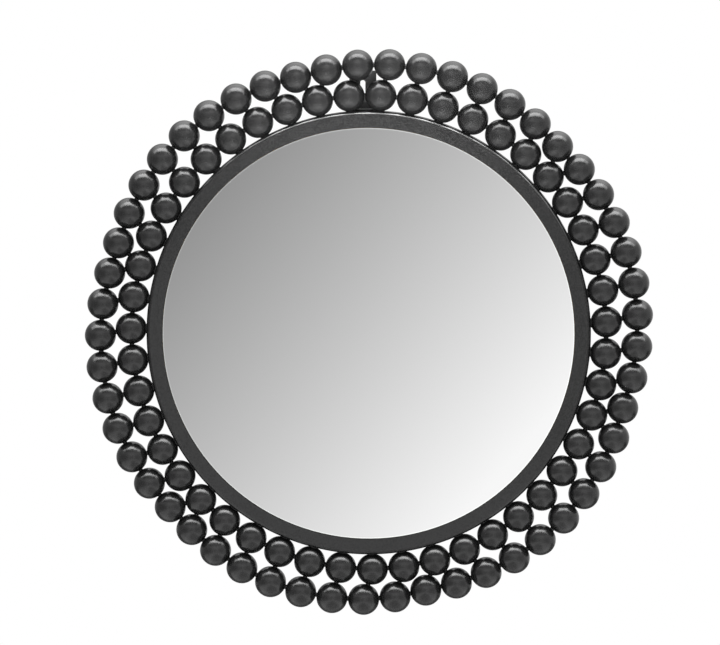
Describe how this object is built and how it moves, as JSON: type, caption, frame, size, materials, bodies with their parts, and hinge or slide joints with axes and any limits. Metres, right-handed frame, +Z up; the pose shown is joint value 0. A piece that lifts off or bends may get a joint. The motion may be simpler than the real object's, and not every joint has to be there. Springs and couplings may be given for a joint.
{
  "type": "round mirror",
  "caption": "Round wall mirror in a flat black steel ring, bordered by two nested rings of hollow black steel balls, hung on one screw by a slotted plate behind the top balls.",
  "frame": {"origin": "centre of the upper round end of the hanging slot, on the wall plane, where the wall screw bears", "axes": "+X to the right of the viewer, +Y into the wall, +Z up; the mirror faces -Y"},
  "size_m": [0.7269, 0.0421, 0.7258],
  "materials": {
    "mirror": "silvered float glass",
    "tape": "foam tape",
    "black_frame": "satin",
    "black_balls": "semi-gloss",
    "black_welds": "semi-gloss",
    "black_plate": "satin",
    "tab_steel": "satin",
    "board": "raw fibreboard"
  },
  "bodies": {
    "root": {"mirror_glass": "mirror", "mounting_tape": "tape", "front_ring": "black_frame", "rim_band": "black_frame", "backing_board": "board", "tab_welds": "tab_steel", "hanging_plate": "black_plate", "retaining_tab_1": "tab_steel", "retaining_tab_2": "tab_steel", "retaining_tab_3": "tab_steel", "retaining_tab_4": "tab_steel", "retaining_tab_5": "tab_steel", "retaining_tab_6": "tab_steel", "retaining_tab_7": "tab_steel", "retaining_tab_8": "tab_steel", "inner_balls_1": "black_balls", "inner_balls_2": "black_balls", "inner_balls_3": "black_balls", "inner_balls_4": "black_balls", "inner_balls_5": "black_balls", "inner_balls_6": "black_balls", "outer_balls_1": "black_balls", "outer_balls_2": "black_balls", "outer_balls_3": "black_balls", "outer_balls_4": "black_balls", "outer_balls_5": "black_balls", "outer_balls_6": "black_balls", "inner_ring_welds": "black_welds", "outer_ring_welds": "black_welds", "ring_to_ring_welds": "black_welds", "rim_welds": "black_welds", "hanging_plate_welds": "black_welds"}
  },
  "joints": []
}
